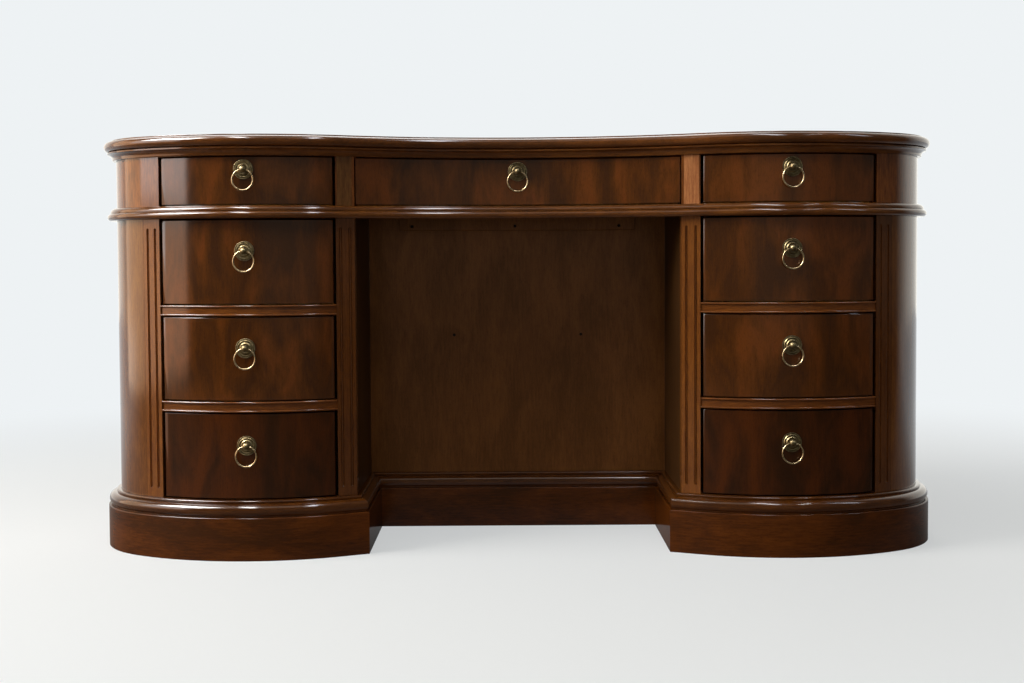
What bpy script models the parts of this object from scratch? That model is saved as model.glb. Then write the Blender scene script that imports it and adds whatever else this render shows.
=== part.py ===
"""Kidney-shaped pedestal desk in mahogany, piece by piece. Metres, +Z up, front faces -Y.

The origin is on the floor under the middle of the desk. Every curved piece follows one
plan outline made of tangent arcs, moved in or out by the amount that the piece needs.
"""
import math

import bmesh
import bpy
from mathutils import Matrix

# Plan outline of the carcass, a chain of arcs from the hollow middle round to the back
BODY_DEPTH = 0.658
PEDESTAL_X = 0.4885
BULGE_RADIUS = 0.366
CENTRE_SAG = 0.1136
BULGE_TURN = math.radians(32.2)
END_RADIUS = 0.166
REAR_RADIUS = 0.37

# Heights, from the floor up
PLINTH_HEIGHT = 0.0775
BASE_MOULDING_HEIGHT = 0.0285
LOWER_BAY_HEIGHT = 0.157
MIDDLE_BAY_HEIGHT = 0.1535
UPPER_BAY_HEIGHT = 0.155
RAIL_HEIGHT = 0.0195
WAIST_HEIGHT = 0.023
FRIEZE_BAY_HEIGHT = 0.089
COVE_HEIGHT = 0.0145
TOP_THICKNESS = 0.0205
TOP_STEP_HEIGHT = 0.0025

# How far each band stands out from the carcass
PLINTH_OVERHANG = 0.0232
BASE_MOULDING_OVERHANG = 0.0218
WAIST_OVERHANG = 0.0172
COVE_OVERHANG = 0.016
TOP_OVERHANG = 0.0222
TOP_STEP_OVERHANG = 0.009

# Kneehole, stiles, and the width of round end that shows beyond them from the front
KNEEHOLE_HALF_WIDTH = 0.297
KNEEHOLE_BACK_Y = -0.005
INNER_STILE_WIDTH = 0.0325
OUTER_STILE_WIDTH = 0.033
END_SHOWN_WIDTH = 0.080

# Board thicknesses
PLINTH_THICKNESS = 0.032
STILE_THICKNESS = 0.022
CASE_THICKNESS = 0.018
FRIEZE_WALL_THICKNESS = 0.020
DECK_THICKNESS = 0.011
KNEEHOLE_PANEL_THICKNESS = 0.012
DRAWER_FRONT_THICKNESS = 0.020
DRAWER_SIDE_THICKNESS = 0.011
DRAWER_BOTTOM_THICKNESS = 0.008
TOP_EDGE_ROUND = 0.0095

# Clearances
GAP = 0.0003
RUNNING_GAP = 0.0005
OVERRUN = 0.010
MERGE = 0.00005

# Flutes and rail recess
FLUTE_RADIUS = 0.00275
FLUTE_END_MARGIN = 0.016
INNER_FLUTE_SPACING = 0.0160
OUTER_FLUTE_SPACING = 0.0152
RAIL_BEAD_HEIGHT = 0.0045
RAIL_RECESS = 0.002

# Drawers
DRAWER_RECESS = 0.0025
DRAWER_SIDE_GAP = 0.0055
CENTRE_DRAWER_SIDE_GAP = 0.002
DRAWER_TOP_GAP = 0.0025
DRAWER_BOX_INSET = 0.002
DRAWER_BOX_DROP = 0.014
DRAWER_BACK_CLEARANCE = 0.030
CENTRE_DRAWER_BACK_CLEARANCE = 0.095

# Dust boards, bookcase shelf and batten
DUST_BOARD_CLEARANCE = 0.011
SHELF_THICKNESS = 0.018
SHELF_MIDDLE_Z = 0.383
SHELF_SETBACK = 0.010
BATTEN_HALF_WIDTH = 0.235
BATTEN_DEPTH = 0.012
BATTEN_HEIGHT = 0.030

# Brass ring pulls
PULL_RISE = 0.0195
PLATE_RADIUS = 0.0177
PLATE_THICKNESS = 0.0035
BALL_RADIUS = 0.0065
BALL_REACH = 0.0095
NECK_RADIUS = 0.0034
RING_RADIUS = 0.0185
RING_WIRE_RADIUS = 0.0015
BORE_RADIUS = 0.0029

# Mouldings as (out, up) shares of their overhang and height, starting at the foot
BASE_PROFILE_SHARES = [
    (0, 0), (0.78, 0), (0.78, 0.08), (0.94, 0.16), (1, 0.34), (0.94, 0.56), (0.78, 0.72),
    (0.52, 0.82), (0.36, 0.84), (0.40, 0.93), (0.30, 1), (0, 1),
]
WAIST_PROFILE_SHARES = [
    (0, 0), (0.80, 0), (0.94, 0.08), (1, 0.24), (0.96, 0.42), (0.84, 0.54), (0.66, 0.61),
    (0.68, 0.72), (0.58, 0.88), (0.42, 1), (0, 1),
]
COVE_PROFILE_SHARES = [
    (0, 0), (0.40, 0), (0.46, 0.24), (0.62, 0.54), (0.90, 0.78), (1, 0.86), (0.98, 0.95),
    (0.86, 1), (0, 1),
]

# Rosette ridges as (radius, height) shares of the plate, from the ball's neck to the back
RIDGE_SHARES = [
    (0.34, 0.9), (0.46, 0.55), (0.60, 0.95), (0.72, 0.50), (0.84, 0.75), (0.93, 0.55),
    (1, 0.33), (1, 0), (0, 0),
]

# Facets
HOLLOW_STEPS = 5
BULGE_STEPS = 9
END_STEPS = 8
REAR_STEPS = 7
BACK_STEPS = 5
FLUTE_SIDES = 8
FLUTE_RINGS = 5
BALL_STEPS = 5
PLATE_STEPS = 14
BORE_SIDES = 12
RING_SEGMENTS = 20
RING_SIDES = 6
TOP_EDGE_STEPS = 2

# Levels worked out from the heights
BASE_BOTTOM = PLINTH_HEIGHT
BASE_TOP = BASE_BOTTOM + BASE_MOULDING_HEIGHT
LOWER_RAIL_BOTTOM = BASE_TOP + LOWER_BAY_HEIGHT
LOWER_RAIL_TOP = LOWER_RAIL_BOTTOM + RAIL_HEIGHT
UPPER_RAIL_BOTTOM = LOWER_RAIL_TOP + MIDDLE_BAY_HEIGHT
UPPER_RAIL_TOP = UPPER_RAIL_BOTTOM + RAIL_HEIGHT
WAIST_BOTTOM = UPPER_RAIL_TOP + UPPER_BAY_HEIGHT
WAIST_TOP = WAIST_BOTTOM + WAIST_HEIGHT
DECK_BOTTOM = WAIST_TOP - DECK_THICKNESS
COVE_BOTTOM = WAIST_TOP + FRIEZE_BAY_HEIGHT
COVE_TOP = COVE_BOTTOM + COVE_HEIGHT
TOP_STEP_BOTTOM = COVE_TOP + TOP_THICKNESS
TOP_TOP = TOP_STEP_BOTTOM + TOP_STEP_HEIGHT

# Circle centres and tangent angles of the plan outline
FRONT_Y = -BODY_DEPTH / 2
BACK_Y = BODY_DEPTH / 2
CENTRES_APART = (PEDESTAL_X ** 2 + CENTRE_SAG ** 2) / (2 * CENTRE_SAG)
HOLLOW_RADIUS = CENTRES_APART - BULGE_RADIUS
HOLLOW_Y = FRONT_Y + CENTRE_SAG - HOLLOW_RADIUS
HOLLOW_ANGLE = math.asin(PEDESTAL_X / CENTRES_APART)
BULGE_Y = FRONT_Y + BULGE_RADIUS
END_X = PEDESTAL_X + (BULGE_RADIUS - END_RADIUS) * math.sin(BULGE_TURN)
END_Y = BULGE_Y - (BULGE_RADIUS - END_RADIUS) * math.cos(BULGE_TURN)
EXTREME_X = END_X + END_RADIUS
REAR_X = EXTREME_X - REAR_RADIUS
END_TO_BACK = BACK_Y - END_Y
BACK_RADIUS = (REAR_X ** 2 + END_TO_BACK ** 2 - REAR_RADIUS ** 2) / (2 * (END_TO_BACK - REAR_RADIUS))
BACK_CENTRE_Y = BACK_Y - BACK_RADIUS
BACK_ANGLE = math.asin(REAR_X / (BACK_RADIUS - REAR_RADIUS))

# Openings worked out from the stiles
STILE_OUTER_X = KNEEHOLE_HALF_WIDTH + INNER_STILE_WIDTH
OUTER_STILE_END_X = EXTREME_X - END_SHOWN_WIDTH
OPENING_OUTER_X = OUTER_STILE_END_X - OUTER_STILE_WIDTH
CHEEK_OUTER_X = KNEEHOLE_HALF_WIDTH + CASE_THICKNESS

COLLECTION_NAME = "kidney_desk"
SMOOTH_ANGLE = math.radians(35)


def clear_scene():
    for old in list(bpy.data.objects):
        bpy.data.objects.remove(old, do_unlink=True)


def new_collection(name):
    collection = bpy.data.collections.new(name)
    bpy.context.scene.collection.children.link(collection)
    return collection


def linear(channel):
    """One sRGB channel, 0 to 255, as a linear value."""
    share = channel / 255
    if share <= 0.04045:
        return share / 12.92
    return ((share + 0.055) / 1.055) ** 2.4


def finish(name, colour, roughness, metallic):
    """A plain finish: sRGB colour, roughness and metallic value."""
    material = bpy.data.materials.new(name)
    material.use_nodes = True
    shader = material.node_tree.nodes["Principled BSDF"]
    red, green, blue = (linear(int(colour[i:i + 2], 16)) for i in (0, 2, 4))
    shader.inputs["Base Color"].default_value = (red, green, blue, 1)
    shader.inputs["Roughness"].default_value = roughness
    shader.inputs["Metallic"].default_value = metallic
    return material


def spread(start, end, steps):
    """Evenly spaced values from start to end."""
    return [start + (end - start) * i / steps for i in range(steps + 1)]


def arc(centre_x, centre_y, radius, start, end, steps):
    """Points on a circle; an angle of zero points to the front, a right angle to +X."""
    angles = spread(start, end, steps)
    return [(centre_x + radius * math.sin(a), centre_y - radius * math.cos(a)) for a in angles]


def front_half(offset):
    """The outline's front from its middle to the right-hand extreme, moved out by offset."""
    hollow = HOLLOW_RADIUS - offset
    points = arc(0, HOLLOW_Y, hollow, math.pi, math.pi - HOLLOW_ANGLE, HOLLOW_STEPS)
    bulge = BULGE_RADIUS + offset
    points += arc(PEDESTAL_X, BULGE_Y, bulge, -HOLLOW_ANGLE, BULGE_TURN, BULGE_STEPS)[1:]
    points += arc(END_X, END_Y, END_RADIUS + offset, BULGE_TURN, math.pi / 2, END_STEPS)[1:]
    return points


def back_half(offset):
    """The outline's back from the right-hand extreme to its middle, moved out by offset."""
    turn = math.pi - BACK_ANGLE
    points = arc(REAR_X, END_Y, REAR_RADIUS + offset, math.pi / 2, turn, REAR_STEPS)
    points += arc(0, BACK_CENTRE_Y, BACK_RADIUS + offset, turn, math.pi, BACK_STEPS)[1:]
    return points


def mirrored(points):
    return [(-x, y) for x, y in reversed(points)]


def front_line(offset):
    """The whole front from left to right."""
    half = front_half(offset)
    return mirrored(half)[:-1] + half


def back_line(offset):
    """The whole back from right to left."""
    half = back_half(offset)
    return half + mirrored(half)[1:]


def line_y(line, x):
    """The line's y at x."""
    for (x0, y0), (x1, y1) in zip(line, line[1:]):
        if min(x0, x1) <= x <= max(x0, x1):
            return y0 + (y1 - y0) * (x - x0) / (x1 - x0)
    raise ValueError("x lies beyond the outline")


def along(line, x_from, x_to):
    """The stretch of the line from one x to another."""
    low = min(x_from, x_to) + MERGE
    high = max(x_from, x_to) - MERGE
    between = sorted((point for point in line if low < point[0] < high), reverse=x_to < x_from)
    return [(x_from, line_y(line, x_from))] + between + [(x_to, line_y(line, x_to))]


def round_end(offset, x_front, x_back):
    """The stretch from x_front on the front, round the right end, to x_back on the back."""
    front = front_line(offset)
    back = back_line(offset)
    points = [(x_front, line_y(front, x_front))]
    points += [point for point in front if point[0] > x_front + MERGE]
    points += [point for point in back[1:] if point[0] > x_back + MERGE]
    return points + [(x_back, line_y(back, x_back))]


def back_inside_y(x0, x1):
    """The inner face of the back at the one of two places that lies further from the middle."""
    return line_y(back_line(-CASE_THICKNESS), max(abs(x0), abs(x1)))


def kidney(offset):
    """The whole outline, moved out by offset."""
    return front_line(offset) + back_line(offset)[1:-1]


def kneehole_kidney(offset):
    """The outline with the kneehole cut out of its front, moved out by offset."""
    half_width = KNEEHOLE_HALF_WIDTH - offset
    half = [(half_width, KNEEHOLE_BACK_Y - offset)] + round_end(offset, half_width, 0)
    return half + mirrored(half)[1:]


def add_spline(curve, points):
    spline = curve.splines.new("POLY")
    spline.points.add(len(points) - 1)
    for point, (x, y) in zip(spline.points, points):
        point.co = (x, y, 0, 1)
    spline.use_cyclic_u = True


def flat_curve(name, loops, collection):
    """A closed flat outline with any holes, as a curve object."""
    curve = bpy.data.curves.new(name, "CURVE")
    curve.dimensions = "2D"
    curve.fill_mode = "BOTH"
    for loop in loops:
        add_spline(curve, loop)
    shape = bpy.data.objects.new(name, curve)
    collection.objects.link(shape)
    return shape


def as_mesh(shape, name, collection):
    """A curve object made into a mesh object in the same place."""
    bpy.context.view_layer.update()
    graph = bpy.context.evaluated_depsgraph_get()
    mesh = bpy.data.meshes.new_from_object(shape.evaluated_get(graph))
    shell = bmesh.new()
    shell.from_mesh(mesh)
    bmesh.ops.remove_doubles(shell, verts=shell.verts, dist=MERGE)
    bmesh.ops.recalc_face_normals(shell, faces=shell.faces)
    shell.to_mesh(mesh)
    shell.free()
    piece = bpy.data.objects.new(name, mesh)
    piece.matrix_world = shape.matrix_world.copy()
    collection.objects.link(piece)
    bpy.data.objects.remove(shape, do_unlink=True)
    return piece


def smooth(piece):
    piece.data.shade_smooth()
    piece.data.set_sharp_from_angle(angle=SMOOTH_ANGLE)


def board(name, loops, bottom, top, material, collection):
    """A board of the given plan between two levels."""
    shape = flat_curve(name + "_plan", loops, collection)
    shape.data.extrude = (top - bottom) / 2
    shape.location.z = (top + bottom) / 2
    piece = as_mesh(shape, name, collection)
    piece.data.materials.clear()
    piece.data.materials.append(material)
    smooth(piece)
    return piece


def box(name, x0, x1, y0, y1, z0, z1, material, collection):
    """A square board between two corners."""
    mesh = bpy.data.meshes.new(name)
    shell = bmesh.new()
    bmesh.ops.create_cube(shell, size=1)
    size = Matrix.Diagonal((x1 - x0, y1 - y0, z1 - z0, 1))
    middle = Matrix.Translation(((x0 + x1) / 2, (y0 + y1) / 2, (z0 + z1) / 2))
    bmesh.ops.transform(shell, matrix=middle @ size, verts=shell.verts)
    shell.to_mesh(mesh)
    shell.free()
    if material:
        mesh.materials.append(material)
    piece = bpy.data.objects.new(name, mesh)
    collection.objects.link(piece)
    return piece


def moulding(name, path, shares, overhang, bottom, height, material, collection):
    """A moulding whose section runs round a closed path."""
    section = flat_curve(name + "_section", [[(-out * overhang, up * height) for out, up in shares]],
                         collection)
    shape = flat_curve(name + "_path", [path], collection)
    shape.data.fill_mode = "NONE"
    shape.data.bevel_mode = "OBJECT"
    shape.data.bevel_object = section
    shape.location.z = bottom
    piece = as_mesh(shape, name, collection)
    bpy.data.objects.remove(section, do_unlink=True)
    piece.data.materials.clear()
    piece.data.materials.append(material)
    smooth(piece)
    return piece


def combine(piece, guide, operation):
    """Cut or widen one piece by a guide that stays beside it, out of sight."""
    guide.hide_render = True
    guide.display_type = "WIRE"
    modifier = piece.modifiers.new(operation.lower() + "_" + guide.name, "BOOLEAN")
    modifier.operation = operation
    modifier.object = guide


def cut(piece, cutter):
    combine(piece, cutter, "DIFFERENCE")


def join(piece, addition):
    combine(piece, addition, "UNION")


def flute_cutter(name, x, y, bottom, top, collection):
    """A round-ended upright rod on the surface of a stile."""
    mesh = bpy.data.meshes.new(name)
    shell = bmesh.new()
    bmesh.ops.create_uvsphere(
        shell, u_segments=FLUTE_SIDES, v_segments=FLUTE_RINGS, radius=FLUTE_RADIUS)
    middle = (bottom + top) / 2
    reach = (top - bottom) / 2 - FLUTE_RADIUS
    for vert in shell.verts:
        side = math.copysign(1, vert.co.z)
        vert.co.z += side * reach
    bmesh.ops.translate(shell, verts=shell.verts, vec=(x, y, middle))
    shell.to_mesh(mesh)
    shell.free()
    cutter = bpy.data.objects.new(name, mesh)
    collection.objects.link(cutter)
    return cutter


def side_name(side):
    return "right" if side > 0 else "left"


def sided(points, side):
    """A plan drawn for the right side, turned over for the left."""
    return points if side > 0 else mirrored(points)


def make_plinth(woods, collection):
    """The plinth frame, its moulding and the base board that they carry."""
    outer = kneehole_kidney(PLINTH_OVERHANG)
    inner = kneehole_kidney(PLINTH_OVERHANG - PLINTH_THICKNESS)
    board("plinth", [outer, inner], 0, PLINTH_HEIGHT, woods["plinth"], collection)
    board("base_board", [kneehole_kidney(0)], BASE_BOTTOM + GAP, BASE_TOP, woods["case"],
          collection)
    moulding("plinth_moulding", kneehole_kidney(GAP), BASE_PROFILE_SHARES,
             BASE_MOULDING_OVERHANG - GAP, BASE_BOTTOM + GAP, BASE_MOULDING_HEIGHT - GAP,
             woods["moulding"], collection)


def front_board_plan(x0, x1, outer, inner):
    """Plan of a board bent to the front, between two places and two offsets."""
    return along(front_line(outer), x0, x1) + along(front_line(inner), x1, x0)


def make_stiles(side, woods, collection, cutters):
    """The two fluted stiles beside a pedestal's drawers."""
    stiles = [("inner", KNEEHOLE_HALF_WIDTH, STILE_OUTER_X, INNER_FLUTE_SPACING),
              ("outer", OPENING_OUTER_X, OUTER_STILE_END_X, OUTER_FLUTE_SPACING)]
    for kind, x0, x1, spacing in stiles:
        name = f"{side_name(side)}_{kind}_stile"
        plan = front_board_plan(x0, x1, 0, -STILE_THICKNESS)
        stile = board(name, [sided(plan, side)], BASE_TOP + GAP, DECK_BOTTOM - GAP,
                      woods["stile"], collection)
        middle = (x0 + x1) / 2
        for number, x in enumerate((middle - spacing / 2, middle + spacing / 2), 1):
            y = line_y(front_line(0), x)
            cutter = flute_cutter(f"{name}_flute_{number}", side * x, y,
                                  BASE_TOP + FLUTE_END_MARGIN, WAIST_BOTTOM - FLUTE_END_MARGIN,
                                  cutters)
            cut(stile, cutter)


def make_end_panel(side, woods, collection):
    """The panel bent round a pedestal's end to the bookcase at the back."""
    start = OUTER_STILE_END_X + GAP
    stop = CHEEK_OUTER_X + GAP
    plan = round_end(0, start, stop) + round_end(-CASE_THICKNESS, start, stop)[::-1]
    board(side_name(side) + "_end_panel", [sided(plan, side)], BASE_TOP + GAP, DECK_BOTTOM - GAP,
          woods["panel"], collection)


def make_cheek(side, woods, collection):
    """The upright between a pedestal and the kneehole, from front to back."""
    behind = front_line(-STILE_THICKNESS - GAP)
    plan = along(behind, KNEEHOLE_HALF_WIDTH, CHEEK_OUTER_X)
    plan += along(back_line(0), CHEEK_OUTER_X, KNEEHOLE_HALF_WIDTH)
    board(side_name(side) + "_cheek", [sided(plan, side)], BASE_TOP + GAP, DECK_BOTTOM - GAP,
          woods["case"], collection)


def make_dividers(side, woods, collection, cutters):
    """The two rails between a pedestal's drawers, each with its dust board behind."""
    x0 = STILE_OUTER_X + GAP
    x1 = OPENING_OUTER_X - GAP
    back_y = back_inside_y(x0, x1) - DUST_BOARD_CLEARANCE
    plan = along(front_line(0), x0, x1) + [(x1, back_y), (x0, back_y)]
    recess = front_board_plan(x0 - OVERRUN, x1 + OVERRUN, OVERRUN, -RAIL_RECESS)
    for number, bottom in ((1, UPPER_RAIL_BOTTOM), (2, LOWER_RAIL_BOTTOM)):
        name = f"{side_name(side)}_divider_{number}"
        top = bottom + RAIL_HEIGHT
        divider = board(name, [sided(plan, side)], bottom, top, woods["rail"], collection)
        cutter = board(name + "_recess", [sided(recess, side)], bottom + RAIL_BEAD_HEIGHT,
                       top - RAIL_BEAD_HEIGHT, woods["rail"], cutters)
        cut(divider, cutter)


def make_kneehole(woods, collection):
    """The panel behind the knees, the batten across its top and the bookcase shelf behind it."""
    half = KNEEHOLE_HALF_WIDTH - GAP
    panel_back = KNEEHOLE_BACK_Y + KNEEHOLE_PANEL_THICKNESS
    box("kneehole_panel", -half, half, KNEEHOLE_BACK_Y, panel_back, BASE_TOP + GAP,
        DECK_BOTTOM - GAP, woods["panel"], collection)
    batten_back = KNEEHOLE_BACK_Y - GAP
    batten_top = DECK_BOTTOM - GAP
    box("panel_batten", -BATTEN_HALF_WIDTH, BATTEN_HALF_WIDTH, batten_back - BATTEN_DEPTH,
        batten_back, batten_top - BATTEN_HEIGHT, batten_top, woods["case"], collection)
    shelf_front = panel_back + GAP
    plan = [(-half, shelf_front), (half, shelf_front)]
    plan += along(back_line(-SHELF_SETBACK), half, -half)
    board("bookcase_shelf", [plan], SHELF_MIDDLE_Z - SHELF_THICKNESS / 2,
          SHELF_MIDDLE_Z + SHELF_THICKNESS / 2, woods["case"], collection)


def make_frieze(woods, collection, cutters):
    """The drawer frame under the top, with the deck below it and the waist moulding round it."""
    board("frieze_deck", [kidney(0)], DECK_BOTTOM, WAIST_TOP - GAP, woods["case"], collection)
    moulding("waist_moulding", kidney(GAP), WAIST_PROFILE_SHARES, WAIST_OVERHANG - GAP,
             WAIST_BOTTOM, WAIST_HEIGHT - GAP, woods["moulding"], collection)

    wall = -FRIEZE_WALL_THICKNESS
    half = KNEEHOLE_HALF_WIDTH
    middle = along(front_line(wall), -half, half) + along(back_line(wall), half, -half)
    pocket = round_end(wall, CHEEK_OUTER_X, CHEEK_OUTER_X)
    loops = [kidney(0), middle, pocket, mirrored(pocket)]
    frame = board("frieze_frame", loops, WAIST_TOP, COVE_TOP - GAP, woods["frieze"], collection)
    openings = [("left", -OPENING_OUTER_X, -STILE_OUTER_X),
                ("right", STILE_OUTER_X, OPENING_OUTER_X),
                ("centre", -half, half)]
    for bay, x0, x1 in openings:
        behind = max(y for x, y in along(front_line(wall), x0, x1)) + OVERRUN
        cutter = box(f"frieze_{bay}_opening", x0, x1, FRONT_Y - OVERRUN, behind,
                     WAIST_TOP - OVERRUN, COVE_BOTTOM, None, cutters)
        cut(frame, cutter)


def make_top(woods, collection, cutters):
    """The top board with its rounded edge and low step, and the cove moulding under it."""
    moulding("cove_moulding", kidney(GAP), COVE_PROFILE_SHARES, COVE_OVERHANG - GAP, COVE_BOTTOM,
             COVE_HEIGHT - GAP, woods["moulding"], collection)
    top = board("desk_top", [kidney(TOP_OVERHANG)], COVE_TOP, TOP_STEP_BOTTOM, woods["top"],
                collection)
    bevel = top.modifiers.new("rounded_edge", "BEVEL")
    bevel.width = TOP_EDGE_ROUND
    bevel.segments = TOP_EDGE_STEPS
    bevel.limit_method = "ANGLE"
    bevel.angle_limit = SMOOTH_ANGLE
    step = board("desk_top_step", [kidney(TOP_STEP_OVERHANG)], TOP_STEP_BOTTOM - TOP_STEP_HEIGHT,
                 TOP_TOP, woods["top"], cutters)
    join(top, step)


def plate_profile():
    """Half section of a pull's ball and backplate, from the tip down the outside to the back."""
    stop = math.pi - math.asin(NECK_RADIUS / BALL_RADIUS)
    points = []
    for angle in spread(0, stop, BALL_STEPS):
        points.append((BALL_RADIUS * math.sin(angle), BALL_REACH + BALL_RADIUS * math.cos(angle)))
    points += [(radius * PLATE_RADIUS, height * PLATE_THICKNESS) for radius, height in RIDGE_SHARES]
    return points


def make_pull(name, x, seat_y, z, slide, brasses, collection, cutters):
    """A turned backplate with its ball, and the ring that swings in the ball."""
    mesh = bpy.data.meshes.new(name + "_pull_plate")
    points = plate_profile()
    edges = [(i, i + 1) for i in range(len(points) - 1)]
    mesh.from_pydata([(radius, 0, height) for radius, height in points], edges, [])
    mesh.materials.append(brasses["plate"])
    plate = bpy.data.objects.new(name + "_pull_plate", mesh)
    collection.objects.link(plate)
    screw = plate.modifiers.new("turned", "SCREW")
    screw.steps = PLATE_STEPS
    screw.render_steps = PLATE_STEPS
    screw.use_merge_vertices = True
    screw.merge_threshold = MERGE
    screw.use_smooth_shade = True
    plate.rotation_euler.x = math.pi / 2
    hang(plate, slide, (x, seat_y - GAP, z))

    ball_y = seat_y - GAP - BALL_REACH
    bpy.ops.mesh.primitive_cylinder_add(
        vertices=BORE_SIDES, radius=BORE_RADIUS, depth=2 * BALL_RADIUS + OVERRUN,
        location=(x, ball_y, z), rotation=(0, math.pi / 2, 0))
    bore = bpy.context.object
    bore.name = name + "_pull_bore"
    move_to(bore, cutters)
    cut(plate, bore)

    bpy.ops.mesh.primitive_torus_add(
        major_radius=RING_RADIUS, minor_radius=RING_WIRE_RADIUS, major_segments=RING_SEGMENTS,
        minor_segments=RING_SIDES, rotation=(math.pi / 2, 0, 0))
    ring = bpy.context.object
    ring.name = name + "_pull_ring"
    ring.data.transform(ring.rotation_euler.to_matrix().to_4x4())
    ring.rotation_euler = (0, 0, 0)
    ring.data.transform(Matrix.Translation((0, 0, -RING_RADIUS)))
    ring.data.materials.append(brasses["ring"])
    ring.data.shade_smooth()
    move_to(ring, collection)
    hang(ring, slide, (x, ball_y, z))


def move_to(piece, collection):
    for old in list(piece.users_collection):
        old.objects.unlink(piece)
    collection.objects.link(piece)


def hang(piece, slide, world):
    """Hang a piece on a drawer's empty, at a place given in the desk's frame."""
    piece.parent = slide
    piece.matrix_parent_inverse = Matrix.Translation(slide.location).inverted()
    piece.location = world


def make_drawer(name, opening, side_gap, bay_bottom, bay_top, back_clearance, woods, brasses,
                collection, cutters):
    """A bowed front, a box behind it and a ring pull, all on one empty."""
    x0 = opening[0] + side_gap
    x1 = opening[1] - side_gap
    pull_x = (x0 + x1) / 2
    inner = -DRAWER_RECESS - DRAWER_FRONT_THICKNESS
    seat = along(front_line(-DRAWER_RECESS), pull_x - PLATE_RADIUS, pull_x + PLATE_RADIUS)
    seat_y = min(y for x, y in seat)

    slide = bpy.data.objects.new(name + "_slide", None)
    slide.location = (pull_x, seat_y, (bay_bottom + bay_top) / 2)
    collection.objects.link(slide)

    front = board(name + "_front", [front_board_plan(x0, x1, -DRAWER_RECESS, inner)],
                  bay_bottom + DRAWER_TOP_GAP, bay_top - DRAWER_TOP_GAP, woods["front"],
                  collection)
    hang(front, slide, front.matrix_world.translation.copy())

    box_x0 = x0 + DRAWER_BOX_INSET
    box_x1 = x1 - DRAWER_BOX_INSET
    back_y = back_inside_y(box_x0, box_x1) - back_clearance
    plan = along(front_line(inner - GAP), box_x0, box_x1)
    plan += [(box_x1, back_y), (box_x0, back_y)]
    box_bottom = bay_bottom + RUNNING_GAP
    box_top = bay_top - DRAWER_BOX_DROP
    tray = board(name + "_box", [plan], box_bottom, box_top, woods["lining"], collection)
    pocket = box(name + "_inside", box_x0 + DRAWER_SIDE_THICKNESS, box_x1 - DRAWER_SIDE_THICKNESS,
                 FRONT_Y - OVERRUN, back_y - DRAWER_SIDE_THICKNESS,
                 box_bottom + DRAWER_BOTTOM_THICKNESS, box_top + OVERRUN, None, cutters)
    cut(tray, pocket)
    hang(tray, slide, tray.matrix_world.translation.copy())

    pull_z = (bay_bottom + bay_top) / 2 + PULL_RISE
    make_pull(name, pull_x, seat_y, pull_z, slide, brasses, collection, cutters)


def make_drawers(woods, brasses, collection, cutters):
    """Three drawers in the frieze and three in each pedestal."""
    pedestal_bays = [(UPPER_RAIL_TOP, WAIST_BOTTOM), (LOWER_RAIL_TOP, UPPER_RAIL_BOTTOM),
                     (BASE_TOP, LOWER_RAIL_BOTTOM)]
    frieze_bay = (WAIST_TOP, COVE_BOTTOM)
    for side in (-1, 1):
        opening = sorted((side * STILE_OUTER_X, side * OPENING_OUTER_X))
        make_drawer(side_name(side) + "_frieze_drawer", opening, DRAWER_SIDE_GAP, *frieze_bay,
                    DRAWER_BACK_CLEARANCE, woods, brasses, collection, cutters)
        for number, bay in enumerate(pedestal_bays, 1):
            make_drawer(f"{side_name(side)}_drawer_{number}", opening, DRAWER_SIDE_GAP, *bay,
                        DRAWER_BACK_CLEARANCE, woods, brasses, collection, cutters)
    centre = (-KNEEHOLE_HALF_WIDTH, KNEEHOLE_HALF_WIDTH)
    make_drawer("centre_drawer", centre, CENTRE_DRAWER_SIDE_GAP, *frieze_bay,
                CENTRE_DRAWER_BACK_CLEARANCE, woods, brasses, collection, cutters)


def main():
    clear_scene()
    collection = new_collection(COLLECTION_NAME)
    cutters = new_collection("cutters")
    woods = {
        "top": finish("mahogany_top", "4a2416", 0.30, 0),
        "moulding": finish("mahogany_moulding", "45200f", 0.28, 0),
        "frieze": finish("mahogany_frieze", "4c2615", 0.32, 0),
        "front": finish("mahogany_drawer_front", "42200f", 0.32, 0),
        "stile": finish("mahogany_stile", "552a15", 0.34, 0),
        "rail": finish("mahogany_rail", "3d1d0e", 0.34, 0),
        "panel": finish("mahogany_panel", "4a2714", 0.36, 0),
        "plinth": finish("mahogany_plinth", "3d1c10", 0.36, 0),
        "case": finish("mahogany_inside", "3a2012", 0.5, 0),
        "lining": finish("drawer_lining", "a07a4e", 0.6, 0),
    }
    brasses = {
        "plate": finish("aged_brass_plate", "8a6a3a", 0.38, 1),
        "ring": finish("aged_brass_ring", "b08c4c", 0.30, 1),
    }
    make_plinth(woods, collection)
    for side in (-1, 1):
        make_stiles(side, woods, collection, cutters)
        make_end_panel(side, woods, collection)
        make_cheek(side, woods, collection)
        make_dividers(side, woods, collection, cutters)
    make_kneehole(woods, collection)
    make_frieze(woods, collection, cutters)
    make_top(woods, collection, cutters)
    make_drawers(woods, brasses, collection, cutters)


main()
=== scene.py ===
import math
import bpy
from mathutils import Matrix, Vector


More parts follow.
